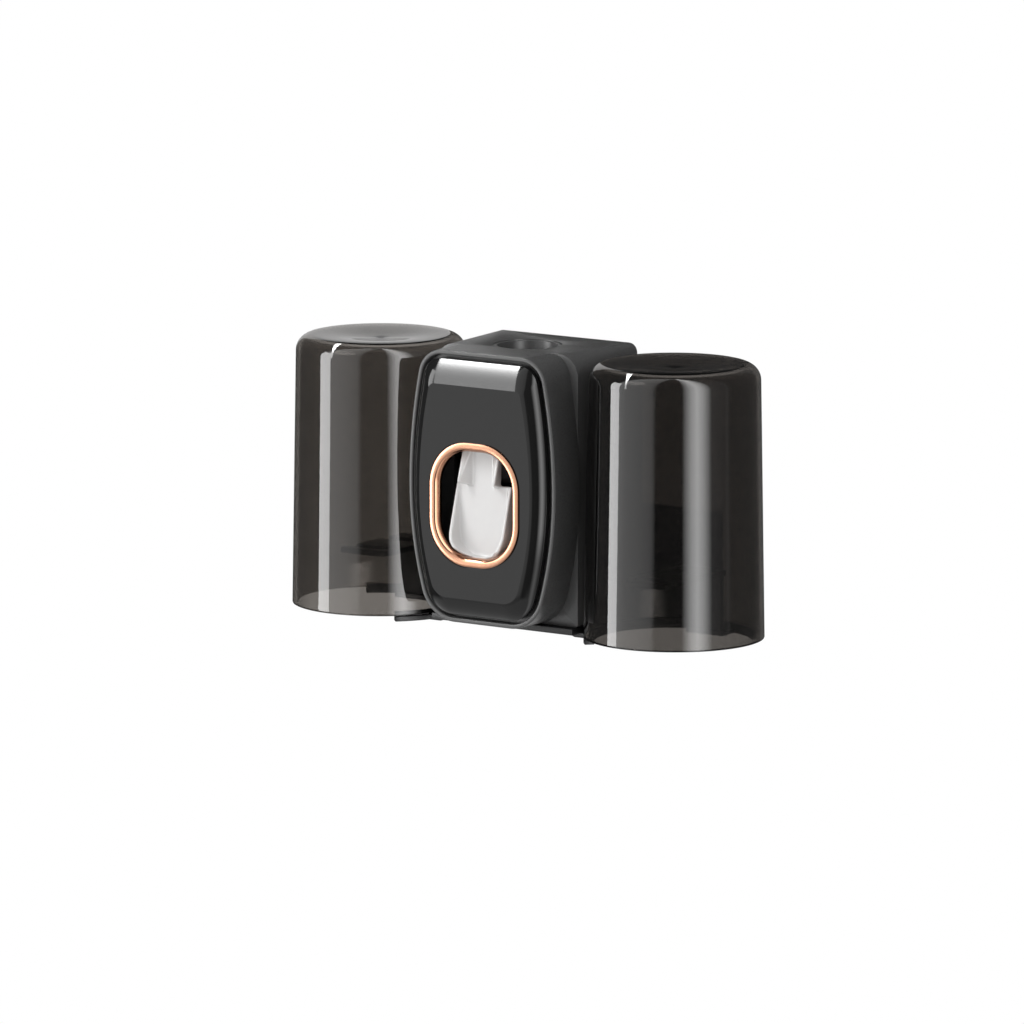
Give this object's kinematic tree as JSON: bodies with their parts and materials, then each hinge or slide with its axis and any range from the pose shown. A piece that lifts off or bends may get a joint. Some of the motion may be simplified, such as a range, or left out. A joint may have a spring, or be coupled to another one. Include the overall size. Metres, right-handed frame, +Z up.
{
  "type": "toothpaste dispenser",
  "caption": "Wall-mounted toothpaste dispenser: push lever in an oval opening works a pump under a top port; inverted tinted cups hang on a tray at each side.",
  "frame": {"origin": "on the wall face of the central adhesive pad, in the middle of the housing's width and height", "axes": "+X to the right seen from the front, +Y into the wall, +Z up"},
  "size_m": [0.224, 0.0794, 0.1193],
  "materials": {
    "black_satin": "satin moulded ABS",
    "black_gloss": "high gloss",
    "black_inner": "matte moulded ABS",
    "rose_gold": "anodised rose gold, satin",
    "white_gloss": "gloss white moulded plastic",
    "smoke_clear": "smoke-tinted clear moulded plastic",
    "steel": "stainless",
    "grey_silicone": "matte silicone rubber",
    "clear_silicone": "translucent silicone rubber",
    "adhesive_foam": "foam adhesive pad"
  },
  "bodies": {
    "wall_mount": {"wall_plate": "black_satin", "adhesive_pads": "adhesive_foam", "cup_tray": "black_satin", "tray_screws": "steel", "left_hanger": "black_satin", "right_hanger": "black_satin", "hanger_screws": "steel"},
    "dispenser": {"rear_housing": "black_satin", "front_bezel": "black_satin", "bezel_screws": "steel", "port_collar": "black_satin", "port_seal": "grey_silicone", "pump_frame": "black_inner", "frame_screws": "steel", "pump_chamber": "black_inner", "chamber_plug": "black_inner", "spout_plug": "black_inner", "inlet_valve": "clear_silicone", "nozzle_valve": "clear_silicone", "diaphragm": "clear_silicone", "retaining_cap": "black_inner", "return_spring": "steel", "lever_pin": "steel", "pin_clips": "steel"},
    "front_cover": {"front_panel": "black_gloss", "trim_ring": "rose_gold"},
    "lever": {"push_lever": "white_gloss"},
    "plunger": {"plunger": "white_gloss"},
    "left_cup": {"left_cup": "smoke_clear"},
    "right_cup": {"right_cup": "smoke_clear"}
  },
  "joints": [
    {"name": "dispenser_lift", "type": "slide", "parent": "wall_mount", "child": "dispenser", "axis": [0, 0, 1], "range_m": [0, 0.007]},
    {"name": "front_cover_pull", "type": "slide", "parent": "dispenser", "child": "front_cover", "axis": [0, -1, 0], "range_m": [0, 0.03]},
    {"name": "lever_hinge", "type": "hinge", "parent": "dispenser", "child": "lever", "pos_m": [0, -0.07, 0.04], "axis": [1, 0, 0], "range_deg": [0, 12], "stiffness_Nm_per_rad": 0.3, "springref_deg": -11.46},
    {"name": "plunger_slide", "type": "slide", "parent": "dispenser", "child": "plunger", "axis": [0, 1, 0], "range_m": [0, 0.0055], "deforming": ["return_spring", "diaphragm"]},
    {"name": "left_cup_lift", "type": "slide", "parent": "wall_mount", "child": "left_cup", "axis": [0, 0, 1], "range_m": [0, 0.125]},
    {"name": "right_cup_lift", "type": "slide", "parent": "wall_mount", "child": "right_cup", "axis": [0, 0, 1], "range_m": [0, 0.125]}
  ],
  "couplings": [
    {"joint": "plunger_slide", "follows": "lever_hinge", "m_per_rad": 0.0256}
  ]
}
